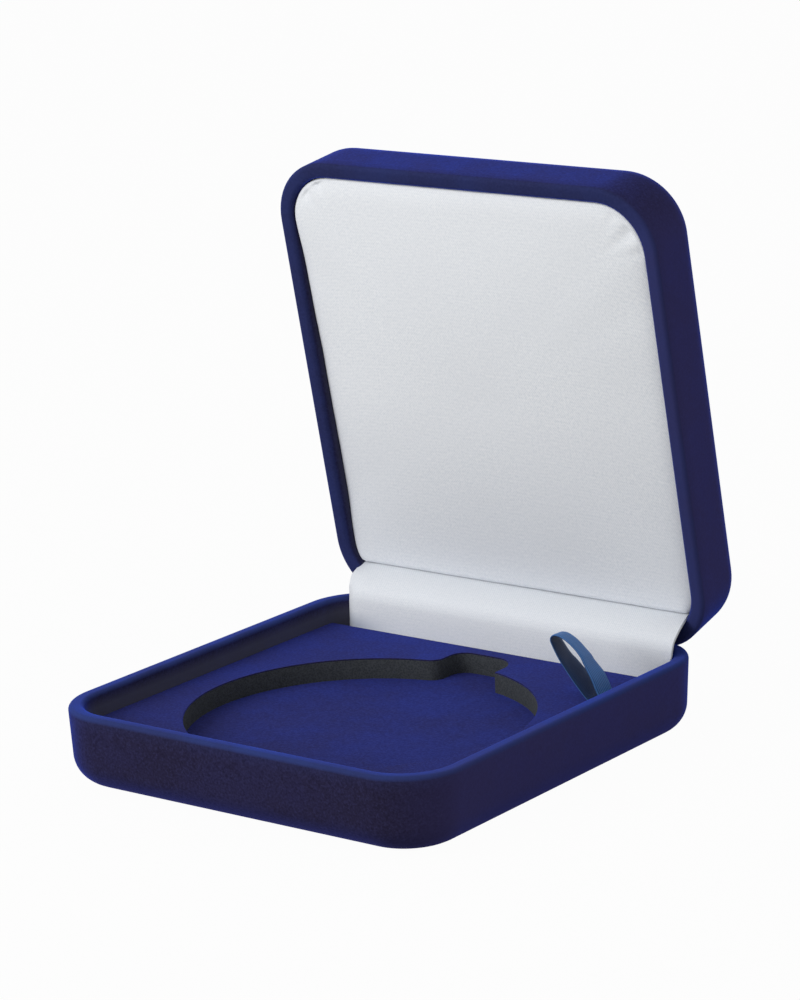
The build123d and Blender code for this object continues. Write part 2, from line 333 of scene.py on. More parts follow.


# Pile that stands up shines blue at a slant; where it is brushed down it shines less, and the lesser shine on
# the base's lower round is painted shade
def velourSurface(tap, look):
    place = ownPlace(tap)
    brushed = cloudy(tap, place, look["brushSize"], 4, 0.6).between(0.35, 0.68)
    pile = cloudy(tap, place, look["pileSize"], 2, 0.7)
    mottle = cloudy(tap, place, look["mottleSize"], 3, 0.7)
    lintRange = tap.node("TexVoronoi", {"feature": "F1"}, {"Vector": place, "Scale": 1 / look["lintSpacing"]})
    lint = 1 - lintRange.between(look["lintSize"] * 0.5, look["lintSize"])
    tone = (brushed * 0.7 + mottle.between(0.3, 0.7) * 0.3).mix(look["shade"], look["brushed"])
    sunk = ((1 - pile.between(0.32, 0.5)) * look["tuftShare"]).mix(tone, look["sunk"])
    grain = (pile.between(0.5, 0.68) * look["tuftShare"]).mix(sunk, look["risen"])
    # Painted light: the right side made lighter
    rightSideLight = (painted(tap, "rightSideLight") * look["rightSideLightShare"]).mix(grain, look["rightSideLight"])
    # The rims lighter: rubbed wear, with painted sheen
    rims = (painted(tap, "rimWearAndSheen") * (brushed * 0.3 + 0.7)).mix(rightSideLight, look["rimWearAndSheen"])
    # Painted light: the lining inside the walls made lighter
    inside = (painted(tap, "liningLight") * look["liningLightShare"]).mix(rims, look["liningLight"])
    shown = (lint * look["lintShare"]).mix(inside, look["lint"])
    height = pile * 0.6 + mottle * 0.4
    rough = brushed * 0.05
    standing, lying = (principled(tap, look, shown, rough, height, way) for way in ("standing", "lying"))
    swept = (1 - brushed) * 0.35 + (1 - pile.between(0.35, 0.65)) * 0.3
    # Painted shade: the base's lower round shines less
    lain = swept.larger(painted(tap, "wearAndShade"))
    return tap.node("MixShader", {}, {0: lain, 1: standing, 2: lying}, out="Shader")


satinLook = {
    "thread": colour(0.925, 0.938, 0.955),
    "valley": colour(0.675, 0.715, 0.765),
    "tone": colour(0.80, 0.82, 0.855),
    "shadeTint": colour(0.42, 0.46, 0.53),  # painted shade, on the pad towards the hinge and on the flap
    "twillPitch": 0.52 * mm,
    "threadPitch": 0.62 * mm,
    "slubSize": (1.7 * mm, 0.45 * mm),  # along the weft and across it
    "grainSize": 0.5 * mm,
    "toneSize": 22 * mm,
    "bendSize": 5 * mm,  # of the weave's wandering
    "weights": (0.2, 0.05, 0.25, 0.65),  # of twill, weft, slubs and grain
    "bump": (0.45, 0.05 * mm),
    "roughness": 0.55,
    "fixed": {"Specular IOR Level": 0.3, "Sheen Weight": 0.25, "Sheen Roughness": 0.4},
}


# The weave runs along X and along Y + Z, which follows the pad and the flap alike
def satinSurface(tap, look):
    place = ownPlace(tap)
    across, back, up = (tap.node("SeparateXYZ", {}, {"Vector": place}, out=axis) for axis in range(3))
    along = back + up
    onCloth = tap.node("CombineXYZ", {}, {0: across, 1: along})
    long, short = look["slubSize"]
    threadwise = tap.node("Mapping", {}, {"Vector": onCloth, "Scale": (short / long, 1, 1)})
    slub = cloudy(tap, threadwise, short, 3, 0.65)
    grain = cloudy(tap, onCloth, look["grainSize"], 2, 0.7)
    bend = cloudy(tap, onCloth, look["bendSize"], 2, 0.5)
    turn = 2 * math.pi / look["twillPitch"]
    twill = ((across + along * 0.8) * turn + bend * 5 + slub * 1.5).ripple()
    weft = (along * (2 * math.pi / look["threadPitch"]) + bend * 8).ripple()
    twillPart, weftPart, slubPart, grainPart = look["weights"]
    weave = twill * twillPart + weft * weftPart + slub * slubPart + grain * grainPart
    ground = weave.between(0.2, 0.85).mix(look["valley"], look["thread"])
    tone = cloudy(tap, place, look["toneSize"], 2, 0.5).between(0.3, 0.7)
    clean = (tone * 0.3).mix(ground, look["tone"])
    # Painted shade, from the marks on the pad and the flap
    shown = painted(tap, "paintedShade").mix(clean, look["shadeTint"])
    return principled(tap, look, shown, slub * 0.15, weave)


ribbonLook = {
    "thread": colour(0.080, 0.245, 0.60),
    "valley": colour(0.014, 0.055, 0.19),
    # painted shade on the loop's inner face
    "inside": colour(0.032, 0.066, 0.17),
    "ribPitch": 0.62 * mm,
    "pickPitch": 0.22 * mm,
    "wornSize": 2.5 * mm,
    "bump": (0.5, 0.06 * mm),
    "roughness": 0.42,
    "fixed": {
        "Specular IOR Level": 0.2,
        "Sheen Weight": 0.15,
        "Sheen Roughness": 0.35,
        "Sheen Tint": colour(0.15, 0.35, 0.8),
    },
}


def ribbonSurface(tap, look):
    place = ownPlace(tap)
    across, along, outer = (painted(tap, name) for name in ("across", "along", "outer"))
    rib = (across * (2 * math.pi / look["ribPitch"])).ripple()
    pick = (along * (2 * math.pi / look["pickPitch"])).ripple()
    wearAndShade = cloudy(tap, place, look["wornSize"], 3, 0.6)
    weave = rib * 0.75 + pick * 0.25
    woven = (weave * (wearAndShade * 0.5 + 0.7)).mix(look["valley"], look["thread"])
    # The inner face gets painted shade
    return principled(tap, look, outer.mix(look["inside"], woven), wearAndShade * 0.2, weave)


foamLook = {
    "cell": colour(0.026, 0.029, 0.034),
    "skin": colour(0.050, 0.055, 0.062),
    "cellSize": 0.35 * mm,
    "sawSize": 1.1 * mm,
    "bump": (0.6, 0.12 * mm),
    "roughness": 0.9,
    "fixed": {"Specular IOR Level": 0.15},
}


def foamSurface(tap, look):
    place = ownPlace(tap)
    cells = tap.node("TexVoronoi", {"feature": "F1"}, {"Vector": place, "Scale": 1 / look["cellSize"]})
    saw = cloudy(tap, place, look["sawSize"], 4, 0.65)
    mask = cells * 0.55 + saw * 0.45
    tone = mask.between(0.2, 0.7).mix(look["cell"], look["skin"])
    return principled(tap, look, tone, saw * 0.08, mask)


boardLook = {
    "fibre": colour(0.40, 0.37, 0.32),
    "pulp": colour(0.30, 0.28, 0.245),
    "fibreSize": 0.5 * mm,
    "bump": (0.4, 0.05 * mm),
    "roughness": 0.88,
}


def boardSurface(tap, look):
    place = ownPlace(tap)
    fibre = cloudy(tap, place, look["fibreSize"], 5, 0.7)
    fleck = cloudy(tap, place, look["fibreSize"] * 5, 3, 0.5)
    tone = (fibre * 0.6 + fleck * 0.4).between(0.3, 0.7).mix(look["pulp"], look["fibre"])
    return principled(tap, look, tone, fleck * 0.1, fibre)


paperLook = {
    "grain": colour(0.012, 0.013, 0.019),
    "rise": colour(0.024, 0.026, 0.036),
    "grainSize": 0.9 * mm,
    "crease": (0.02, 0.3),  # from its middle to its banks, as shares of a grain
    "bump": (0.7, 0.08 * mm),
    "roughness": 0.7,
    "fixed": {"Specular IOR Level": 0.4},
}


def paperSurface(tap, look):
    place = ownPlace(tap)
    size = look["grainSize"]
    wander = tap.node("TexNoise", {}, {"Vector": place, "Scale": 1 / (3 * size)}, out="Color")
    shift = tap.node("VectorMath", {"operation": "SCALE"}, {0: wander, "Scale": 0.5 * size})
    bent = tap.node("VectorMath", {"operation": "ADD"}, {0: place, 1: shift})
    grain = tap.node("TexVoronoi", {"feature": "DISTANCE_TO_EDGE"}, {"Vector": bent, "Scale": 1 / size})
    rise = grain.between(*look["crease"])
    return principled(tap, look, rise.mix(look["grain"], look["rise"]), rise * -0.2, rise)


plasticLook = {
    "colour": colour(0.03, 0.031, 0.036),
    "scuff": colour(0.05, 0.051, 0.056),
    "mottleSize": 3.0 * mm,
    "bump": (0.2, 0.03 * mm),
    "roughness": 0.5,
}


def plasticSurface(tap, look):
    place = ownPlace(tap)
    mottle = cloudy(tap, place, look["mottleSize"], 4, 0.6)
    tone = mottle.between(0.35, 0.75).mix(look["colour"], look["scuff"])
    return principled(tap, look, tone, mottle * 0.2, mottle)


steelLook = {
    "plate": colour(0.60, 0.60, 0.61),
    "dull": colour(0.42, 0.41, 0.40),
    "brushSize": 0.12 * mm,
    "brushSqueeze": 0.06,  # their number along X beside that across
    "spotSize": 1.8 * mm,
    "bump": (0.15, 0.01 * mm),
    "roughness": 0.26,
    "fixed": {"Metallic": 1.0},
}


def steelSurface(tap, look):
    place = ownPlace(tap)
    stretched = tap.node("Mapping", {}, {"Vector": place, "Scale": (look["brushSqueeze"], 1, 1)})
    brush = cloudy(tap, stretched, look["brushSize"], 2, 0.6)
    spot = cloudy(tap, place, look["spotSize"], 4, 0.6)
    tone = spot.between(0.5, 0.75).mix(look["plate"], look["dull"])
    return principled(tap, look, tone, brush * 0.12 + spot * 0.15, brush)


velour = newMaterial("velour", velourSurface, velourLook)
satin = newMaterial("satin", satinSurface, satinLook)
ribbon = newMaterial("ribbon", ribbonSurface, ribbonLook)
foam = newMaterial("foam", foamSurface, foamLook)
greyBoard = newMaterial("greyBoard", boardSurface, boardLook)
grainedPaper = newMaterial("grainedPaper", paperSurface, paperLook)
plastic = newMaterial("mouldedPlastic", plasticSurface, plasticLook)
steel = newMaterial("platedSteel", steelSurface, steelLook)
print("materials made")


def dress(piece, material):
    piece.data.materials.clear()
    piece.data.materials.append(material)


# The rigid pieces keep their own shapes and get their finishes
hingeParts = [f"hinge_{part}_{side}" for part in ("base_leaf", "lid_leaf", "pin")
              for side in ("left", "right")]
rigidFinish = [
    (plastic, ["base_shell", "lid_shell"]),
    (grainedPaper, ["base_bottom_sheet"]),
    (greyBoard, ["insert_riser", "insert_board", "lid_riser", "lid_pad_board"]),
    (steel, ["hinge_base_rivets", "hinge_lid_rivets", *hingeParts]),
]
for material, nodeNames in rigidFinish:
    for nodeName in nodeNames:
        dress(frame["nodes"][nodeName], material)
print("rigid pieces finished")


# Velour covering
def planRing(inset):
    radius = max(case["cornerRadius"] - inset, case["smallestCorner"])
    x = case["width"] / 2 - inset - radius
    y = case["depth"] / 2 - inset - radius
    ring = []
    for quarter, (signX, signY) in enumerate([(1, 1), (-1, 1), (-1, -1), (1, -1)]):
        bend = arc(signX * x, signY * y, radius, 90 * quarter, 90 * quarter + 90, case["cornerSteps"])
        ring += bend
        last = Vector(bend[-1])
        reach = Vector((0, -2 * y)) if quarter % 2 else Vector((-2 * x, 0))
        reach = reach if quarter < 2 else -reach
        for step in range(1, case["sideSteps"]):
            ring.append(tuple(last + reach * step / case["sideSteps"]))
    return ring


# Section of the covering, as steps in from the rim's plan and heights, from the flat face to the lining's end
def coverPath(foot, innerEdge):
    rim, edge, turn = case["rim"], case["edgeRadius"], case["rimRound"]
    footWall = lean(0, foot + edge)
    path = [(innerEdge, foot)]
    path += [(footWall + edge + extra, foot) for extra in case["facePlaces"]]
    path += arc(footWall + edge, foot + edge, edge, 270, 180, case["edgeSteps"])
    low, high = foot + edge, rim - turn
    heights = [low + (high - low) * share for share in case["wallShares"]]
    path += [(lean(0, z), z) for z in heights]
    path += arc(lean(0, high) + turn, high, turn, 180, 90, case["rimSteps"])
    path += [(case["wall"] / 2, rim)]
    path += arc(lean(case["wall"], high) - turn, high, turn, 90, 0, case["rimSteps"])
    depths = [high - (case["lining"] - turn) * share for share in case["liningShares"]]
    return path + [(lean(case["wall"], z), z) for z in depths]


# The same path, a distance to its right
def beside(path, distance):
    moved = []
    for k, (x, z) in enumerate(path):
        way = wayAt(path, k)
        moved.append((x + way.y * distance, z - way.x * distance))
    return moved


# No more than a limit, rounded where it is met
def softLimit(value, limit, width):
    near = max(width - abs(value - limit), 0) / width
    return min(value, limit) - near * near * width / 4


# The covering lies over the rear bevel, where the two rims meet when the lid is open
def onBevel(point, drop):
    slope = math.tan(openAngle / 2)
    limit = hingeZ - case["bevelGap"] - drop - (point.y - hingeY) * slope
    return Vector((point.x, point.y, softLimit(point.z, limit, case["bevelSoft"])))


# Room for the knuckles of the two hinges
def knuckleCutters():
    cutters = []
    size = case["notchRadius"]
    for side in (-1, 1):
        centre = Matrix.Translation((side * case["notchSpread"], hingeY, hingeZ))
        lying = centre @ Matrix.Rotation(math.pi / 2, 4, "Y")
        shape = bmesh.new()
        bmesh.ops.create_cone(shape, cap_ends=True, segments=case["notchFacets"], radius1=size, radius2=size,
                              depth=case["notchLength"], matrix=lying)
        mesh = bpy.data.meshes.new("notch")
        shape.to_mesh(mesh)
        shape.free()
        cutters.append(inScene("notch", mesh))
    return cutters


def covering(name, foot, closedFace):
    innerEdge = case["width"] / 2 - case["faceMiddle"] if closedFace else case["turnUnder"]
    outside = coverPath(foot, innerEdge)
    inside = beside(outside, case["cover"])
    points = []
    for layer, drop in ((outside, 0), (list(reversed(inside)), case["cover"])):
        for inset, z in layer:
            points += [onBevel(Vector((x, y, z)), drop) for x, y in planRing(inset)]
    faces = ringFaces(len(outside) * 2, len(planRing(0)), looped=not closedFace, capped=closedFace)
    return cutAway(meshObject(name, points, faces), knuckleCutters())


# 1 on the rim, 0 from a little way down its two rounds: where rubbed wear and painted sheen go
def onRim(point):
    down = (case["rim"] - point.z) / case["rimRound"]
    return clamped(case["rimPaintReach"] - down * down)


# 1 on the lower round of the base, which gets painted shade as less sheen
def shadedFoot(point):
    return clamped((case["footShadeTop"] - point.z) / case["footShadeFade"])


# How far a point lies in from the rim's plan
def planInset(point):
    x, y = abs(point.x) - cornerX, abs(point.y) - cornerY
    return case["cornerRadius"] - (math.hypot(x, y) if x > 0 and y > 0 else max(x, y))


# 1 on the lining inside the walls, where light is painted
def onLining(point):
    down = (case["rim"] - case["rimRound"] - point.z) / mm
    inside = planInset(point) > lean(case["wall"] / 2, point.z)
    return clamped(down) if inside and down * mm < case["lining"] + case["cover"] else 0


# Painted light: 1 on the outer wall at the right, falling off round its corners and on to the flat face
def facesRight(point):
    x, y = point.x - cornerX, max(abs(point.y) - cornerY, 0)
    if x <= 0:
        return 0
    onWall = clamped(case["rightLightReach"] - planInset(point) / case["edgeRadius"])
    return onWall * (x / math.hypot(x, y)) ** case["rightLightPower"]


def makeCoverings():
    baseCover = covering("baseCovering", case["foot"], False)
    lidCover = covering("lidCovering", 0, True)
    paint(baseCover, "rimWearAndSheen", onRim)
    paint(baseCover, "wearAndShade", shadedFoot)
    paint(lidCover, "rimWearAndSheen", lambda point: onRim(point) * case["lidRimShare"])
    for piece in (baseCover, lidCover):
        paint(piece, "liningLight", onLining)
        paint(piece, "rightSideLight", facesRight)
    lidCover.data.transform(openUp @ flipOver)
    lidCover.data.flip_normals()
    for piece, body, node in ((baseCover, "base", "base_velour"), (lidCover, "lid", "lid_velour")):
        smooth(piece)
        dress(piece, velour)
        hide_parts(node)
        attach(piece, body)


makeCoverings()
print("velour covering made")


# Insert
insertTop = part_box("insert_top_velour")[1].z
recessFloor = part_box("insert_floor_velour")[1].z
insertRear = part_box("insert_top_velour")[1].y
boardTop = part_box("insert_board")[1].z
insert = {
    "fit": 0.35 * mm,
    "recessRadius": 35.45 * mm,
    "recessBack": -7.5 * mm,
    "notchWidth": 15.0 * mm,
    "notchReach": 7.6 * mm,  # past the recess's circle
    "notchSide": 1.0 * mm,
    "notchRound": 3.4 * mm,
    "notchRightRound": 5.4 * mm,
    "notchEase": 3.0 * mm,  # between the circle and the notch's left side
    "skin": 0.28 * mm,  # velour over the foam
    "soft": 0.13 * mm,
    "cutSoft": 0.05 * mm,  # of the die-cut edges
    "notchSteps": 8,
    "wideSteps": 10,
    "circleSteps": 120,
}
loop = {
    "place": (37.6 * mm, 23.6 * mm),
    "turn": math.radians(14),
    "width": 6.1 * mm,
    "thick": 0.42 * mm,
    "pressed": 0.06,  # of its height, in the shut case
    "slitLength": 6.8 * mm,
    "slitWidth": 3.8 * mm,
    # Its front edge: towards the right wall, up from the insert, the band's turn in degrees,
    # and how far its rear edge drops
    "route": [
        (-1.3, -3.6, 14, 0),
        (-1.4, -1.2, 12, 0),
        (-1.95, 0.0, 9, 0),
        (-2.9, 0.95, 8, -0.1),
        (-4.87, 3.5, 7, -0.3),
        (-6.75, 6.2, 9, -0.1),
        (-8.05, 8.2, 13, 0.2),
        (-9.4, 10.9, 15, 0.6),
        (-9.85, 12.3, 16, 0.9),
        (-9.4, 13.1, 16, 1.0),
        (-8.35, 13.2, 16, 1.05),
        (-7.0, 12.6, 16, 1.1),
        (-5.65, 11.6, 16, 1.15),
        (-4.4, 10.3, 16, 1.15),
        (-3.45, 9.0, 15, 1.0),
        (-2.85, 7.7, 14, 0.8),
        (-2.15, 6.3, 12, 0.5),
        (-1.3, 4.6, 10, 0.1),
        (-0.55, 2.65, 9, -0.2),
        (0.3, 0.8, 10, -0.2),
        (1.05, -0.6, 12, 0),
        (1.3, -3.6, 14, 0),
    ],
    "steps": 5,
    "widthSteps": 12,
}


# Plan of a panel that fits inside the walls and ends straight at the back, from the middle of its rear edge
def panelOutline(inset, rear):
    steps = case["panelSteps"]
    radius = case["cornerRadius"] - inset
    cut = math.degrees(math.asin(clamped((rear - cornerY) / radius)))
    right = arc(cornerX, cornerY, radius, cut, 0, steps) + arc(cornerX, -cornerY, radius, 0, -90, steps)
    left = [(-px, py) for px, py in reversed(right)]
    return right + left


def recessOutline():
    radius, back = insert["recessRadius"], insert["recessBack"]
    half, side, bend = insert["notchWidth"] / 2, insert["notchSide"], insert["notchRound"]
    end = back + radius + insert["notchReach"]
    right, left = side + half, side - half
    startAngle = math.degrees(math.acos(right / radius))
    ease, few = insert["notchEase"], insert["notchSteps"]
    away = math.acos((ease - left) / (radius + ease))
    centre = Vector((left - ease, back + (radius + ease) * math.sin(away)))
    circle = arc(0, back, radius, 180 - math.degrees(away), 360 + startAngle, insert["circleSteps"])
    wide = insert["notchRightRound"]
    outline = circle + arc(right - wide, end - wide, wide, 0, 90, insert["wideSteps"])
    outline += arc(left + bend, end - bend, bend, 90, 180, few)
    return outline + arc(centre.x, centre.y, ease, 0, -math.degrees(away), few)[:-1]


def slitOutline():
    turn = Matrix.Rotation(loop["turn"], 2)
    half = Vector((loop["slitWidth"] / 2, loop["slitLength"] / 2))
    corners = [(-1, -1), (1, -1), (1, 1), (-1, 1)]
    return [tuple(Vector(loop["place"]) + turn @ Vector((sx * half.x, sy * half.y))) for sx, sy in corners]


# A flat piece with holes and softened edges, between two heights
def cutPanel(name, outlines, low, high, soft):
    curve = bpy.data.curves.new(name, "CURVE")
    curve.dimensions = "2D"
    curve.fill_mode = "BOTH"
    curve.extrude = (high - low) / 2 - soft
    curve.bevel_depth = soft
    curve.bevel_resolution = 2
    curve.offset = -soft
    for outline in outlines:
        spline = curve.splines.new("POLY")
        spline.points.add(len(outline) - 1)
        for point, (x, y) in zip(spline.points, outline):
            point.co = (x, y, 0, 1)
        spline.use_cyclic_u = True
    sketch = inScene(name, curve)
    mesh = finalMesh(sketch)
    bpy.data.objects.remove(sketch)
    mesh.transform(Matrix.Translation((0, 0, (low + high) / 2)))
    piece = inScene(name, mesh)
    smooth(piece, 30)
    return piece


def makeInsert():
    outline = panelOutline(lean(case["wall"], insertTop) + insert["fit"], insertRear)
    holes = [recessOutline(), slitOutline()]
    skinUnder = insertTop - insert["skin"]
    top = cutPanel("insertVelour", [outline, *holes], skinUnder, insertTop, insert["soft"])
    core = cutPanel("insertFoam", [outline, *holes], boardTop, skinUnder, insert["cutSoft"])
    floor = cutPanel("recessVelour", [recessOutline()], boardTop, recessFloor, insert["cutSoft"])
    for piece, material, slot, node in (
        (top, velour, "velour", "insert_top_velour"),
        (core, foam, "insert_foam", "insert_foam"),
        (floor, velour, "velour", "insert_floor_velour"),
    ):
        dress(piece, material)
        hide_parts(node)
        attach(piece, "insert")


makeInsert()
print("insert made")


# Points of a smooth line through the given ones, with steps between each pair
def throughPoints(points, steps):
    line = []
    for k in range(len(points) - 1):
        a, b = points[max(k - 1, 0)], points[k]
        c, d = points[k + 1], points[min(k + 2, len(points) - 1)]
        for step in range(steps):
            t = step / steps
            line.append(0.5 * (2 * b + (c - a) * t + (2 * a - 5 * b + 4 * c - d) * t * t
                               + (3 * b - a - 3 * c + d) * t * t * t))
    line.append(points[-1])
    return line


band = {
    "edgePower": 6,  # how late its two edges thin out
    "edgeThin": 0.55,
}


# A band along a path: the path's points and the way across at each
def bandMesh(name, path, acrosses, thick, widthSteps):
    points = []
    for k, centre in enumerate(path):
        across = acrosses[k]
        through = wayAt(path, k).cross(across).normalized()
        front, back = [], []
        for step in range(widthSteps + 1):
            share = 2 * step / widthSteps - 1
            middle = centre + across * (share / 2)
            edge = thick / 2 * (1 - abs(share) ** band["edgePower"] * band["edgeThin"])
            front.append(middle + through * edge)
            back.append(middle - through * edge)
        points += front + list(reversed(back))
    size = 2 * (widthSteps + 1)
    piece = meshObject(name, points, ringFaces(len(path), size, capped=True), 60)
    runs = [0.0]
    for before, after in zip(path, path[1:]):
        runs.append(runs[-1] + (after - before).length)
    values = {"across": [], "along": [], "outer": []}
    for vertex in piece.data.vertices:
        row, spot = divmod(vertex.index, size)
        front = spot <= widthSteps
        step = spot if front else size - 1 - spot
        values["across"].append(acrosses[row].length * step / widthSteps)
        values["along"].append(runs[row])
        values["outer"].append(1.0 if front else 0.0)
    for key, numbers in values.items():
        layer = piece.data.attributes.new(key, "FLOAT", "POINT")
        layer.data.foreach_set("value", numbers)
    return piece


def makeLoop():
    stand = Matrix.Rotation(loop["turn"], 3, "Z")
    root = Vector((*loop["place"], insertTop))
    corner = root - stand @ Vector((0, loop["width"] / 2, 0))
    route = [Vector((s * mm, z * mm, math.radians(turn), drop * mm)) for s, z, turn, drop in loop["route"]]
    path, acrosses = [], []
    for s, z, turn, drop in throughPoints(route, loop["steps"]):
        edge = corner + stand @ Vector((s, 0, 0)) + Vector((0, 0, z))
        across = Matrix.Rotation(turn, 3, "Z") @ Vector((0, loop["width"], 0)) - Vector((0, 0, drop))
        across = across.normalized() * loop["width"]
        path.append(edge + across / 2)
        acrosses.append(across)
    piece = bandMesh("pullLoop", path, acrosses, loop["thick"], loop["widthSteps"])
    dress(piece, ribbon)
    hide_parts("pull_loop")
    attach(piece, "insert")
    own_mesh(piece)


makeLoop()
print("pull loop made")


# Hinge flap
flap = {
    "thick": 0.7 * mm,
    "leftStraight": 35.5 * mm,  # where its ends begin to curl back
    "rightStraight": 36.0 * mm,
    "leftCurl": 0.95,
    "rightCurl": 0.15,
    "curlPower": 2.2,
    "endColumns": 26,
    "middleColumns": 60,
    "rows": 8,  # between two cuts
    # Each cut: y and z of its face, the way the sheet runs in degrees, its reach to the left
    # and to the right, and how far its ends curl back
    "cuts": [
        (39.2, 3.8, 90, 39.4, 39.0, 1.0),
        (39.2, 7.4, 90, 41.2, 40.8, 3.5),
        (39.2, 12.6, 89, 41.4, 42.3, 4.0),
        (39.22, 16.4, 86, 41.3, 43.2, 3.95),
        (39.5, 18.4, 73, 41.0, 43.4, 3.5),
        (40.4, 20.0, 50, 40.75, 43.4, 2.7),
        (42.3, 21.3, 30, 41.2, 43.2, 1.95),
        (45.2, 22.35, 16, 42.1, 42.6, 1.25),
        (48.6, 22.95, 10, 42.3, 41.7, 0.65),
        (50.35, 23.2, 11, 42.1, 41.4, 0.3),
        (53.2, 23.75, 11, 42.0, 40.9, 0.25),
        (56.0, 24.3, 11, 41.9, 40.5, 0.2),
    ],
    "wave": 0.10 * mm,
    "waveSize": 16 * mm,
    "waveLift": 0.6,  # of the wave, so that it stays behind the face
    # How much painted shade it gets: all over, low down and in the crease at its left end
    "dull": (0.2, 0.1, 0.7),
    "lowTop": 17.5 * mm,
    "lowDepth": 5.5 * mm,
    "creaseTop": 15 * mm,
    "creaseDepth": 3 * mm,
    "creaseEnd": -24 * mm,
    "creaseLength": 12 * mm,
}


# One end of a row of the flap: across, and how far back from the face
def flapEnd(sign, straight, reach, curl):
    shares = [step / flap["endColumns"] for step in range(flap["endColumns"] + 1)]
    return [(sign * (straight + (reach - straight) * s), curl * s ** flap["curlPower"]) for s in shares]


def flapRow(reachLeft, reachRight, curl):
    left = flapEnd(-1, flap["leftStraight"], reachLeft, curl * flap["leftCurl"])
    right = flapEnd(1, flap["rightStraight"], reachRight, curl * flap["rightCurl"])
    start, finish = left[0][0], right[0][0]
    columns = flap["middleColumns"]
    middle = [(start + (finish - start) * k / columns, 0) for k in range(1, columns)]
    return left[::-1] + middle + right


# Painted shade on the flap: a little all over, more low down, most in the crease at its left end
def flapShade(point):
    low = clamped((flap["lowTop"] - point.z) / flap["lowDepth"])
    crease = clamped((flap["creaseTop"] - point.z) / flap["creaseDepth"])
    end = clamped((flap["creaseEnd"] - point.x) / flap["creaseLength"])
    everywhere, lowDown, inCrease = flap["dull"]
    return everywhere + lowDown * low * low + inCrease * crease * end * end


def makeFlap():
    cuts = [Vector((y * mm, z * mm, math.radians(turn), left * mm, right * mm, curl * mm))
            for y, z, turn, left, right, curl in flap["cuts"]]
    lines = throughPoints(cuts, flap["rows"])
    points = []
    for y, z, direction, left, right, curl in lines:
        hidden = Vector((0, math.sin(direction), -math.cos(direction)))
        flat = flapRow(left, right, curl)
        front, back = [], []
        for k, (x, deep) in enumerate(flat):
            place = Vector((x, y, z)) + hidden * deep
            way = wayAt(flat, k)
            wave = (noise.noise(place / flap["waveSize"]) + flap["waveLift"]) * flap["wave"]
            inward = Vector((-way.y, 0, 0)) + hidden * way.x
            front.append(place + inward * wave)
            back.append(place + inward * (wave + flap["thick"]))
        proud = Vector((flap["thick"] / 4, 0, 0))
        leftRim = front[0].lerp(back[0], 0.5) - proud
        rightRim = front[-1].lerp(back[-1], 0.5) + proud
        points += [leftRim, *front, rightRim, *back[::-1]]
    size = len(points) // len(lines)
    piece = meshObject("hingeFlap", points, ringFaces(len(lines), size, capped=True), 60)
    paint(piece, "paintedShade", flapShade)
    dress(piece, satin)
    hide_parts("hinge_flap")
    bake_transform(piece)


makeFlap()
print("hinge flap made")


# Lid pad, made face down as in the shut lid, so its front edge is the top one when the lid is open
pad = {
    # How deep the pad's edge lies below the lid's rim, by its place from front to back
    "edgeDepths": [(-50.5, 1.1), (-40.0, 1.0), (-24.0, 1.9), (-4.0, 2.5),
                   (26.0, 2.8), (36.0, 2.3), (42.4, 1.9)],
    "faceDepth": 2.2 * mm,  # of its middle, before it rises
    "edgeFade": 14 * mm,  # how far in the edge's own depth is felt
    "back": 9.7 * mm,  # of its rear face, below the rim
    "pressed": 0.8,  # of its thickness, over what lies in the shut case
    "fit": 0.1 * mm,
    "fitDepth": 2 * mm,  # where it meets the leaning walls, below the rim
    "rear": 42.4 * mm,
    "shoulder": 5.0 * mm,  # how far in it has risen
    "rearShoulder": 1.3 * mm,
    "rearBlend": 3 * mm,  # how far ahead of the rear the two shoulders blend
    "shoulderCurve": (2.6, 0.8),
    "rise": 0.85 * mm,
    "crown": 0.40 * mm,
    "crownInset": (4 * mm, 6 * mm),  # where the crown ends, in from the case's sides and ends
    "sideShares": (0, 0.35, 0.7, 0.93),
    "points": 168,
    "rearPoints": 42,
    "rings": 22,
    "shoulderRings": 8,
    "lastRing": 0.97,  # how near the middle the last ring comes
    "ripple": 0.12 * mm,
    "rippleSize": 5.5 * mm,
    "rippleReach": 1.5 * mm,
    "rippleLevel": 3 * mm,  # at which its noise is read
    "wave": 0.12 * mm,
    "waveSize": 24 * mm,
    # Gathers at the two front corners: side, how many, angle, spread, depth, length
    "gathers": [(1, 20, 0.62, 0.40, 0.80, 3.4), (-1, 17, 1.05, 0.30, 1.25, 2.0)],
    "gatherHub": 3 * mm,  # they point past the corner's centre by this much
    "gatherBend": (1.3, 5),  # how much their angles wander, and how often
    "gatherPower": 1.5,
    "gatherEdge": 0.35 * mm,
    "gatherBelow": 0.1 * mm,  # how far past the edge they still reach
    "dull": 0.2,  # of painted shade at its rear end
    "shadeFrom": 2 * mm,
    "shadeLength": 38 * mm,
}
puff = {
    "scale": 20,  # the cloth solver works at furniture size
    "pressure": 1.2,
    "mass": 0.1,
    "quality": 4,
    "frames": 20,
    "cap": 1.3 * mm,
    "pinned": 0.5 * mm,  # how near its edge the cloth is held
    "below": 0.2 * mm,  # its sides begin this far past the edge
    "sideReach": 3 * mm,
    "backReach": 1 * mm,
}


# Evenly spaced points along a line, its first point included and its last left out
def evenly(line, count):
    lengths = [(b - a).length for a, b in zip(line, line[1:])]
    total = sum(lengths)
    points, run, edge = [], 0.0, 0
    for k in range(count):
        want = total * k / count
        while run + lengths[edge] < want:
            run += lengths[edge]
            edge += 1
        points.append(line[edge].lerp(line[edge + 1], (want - run) / lengths[edge]))
    return points


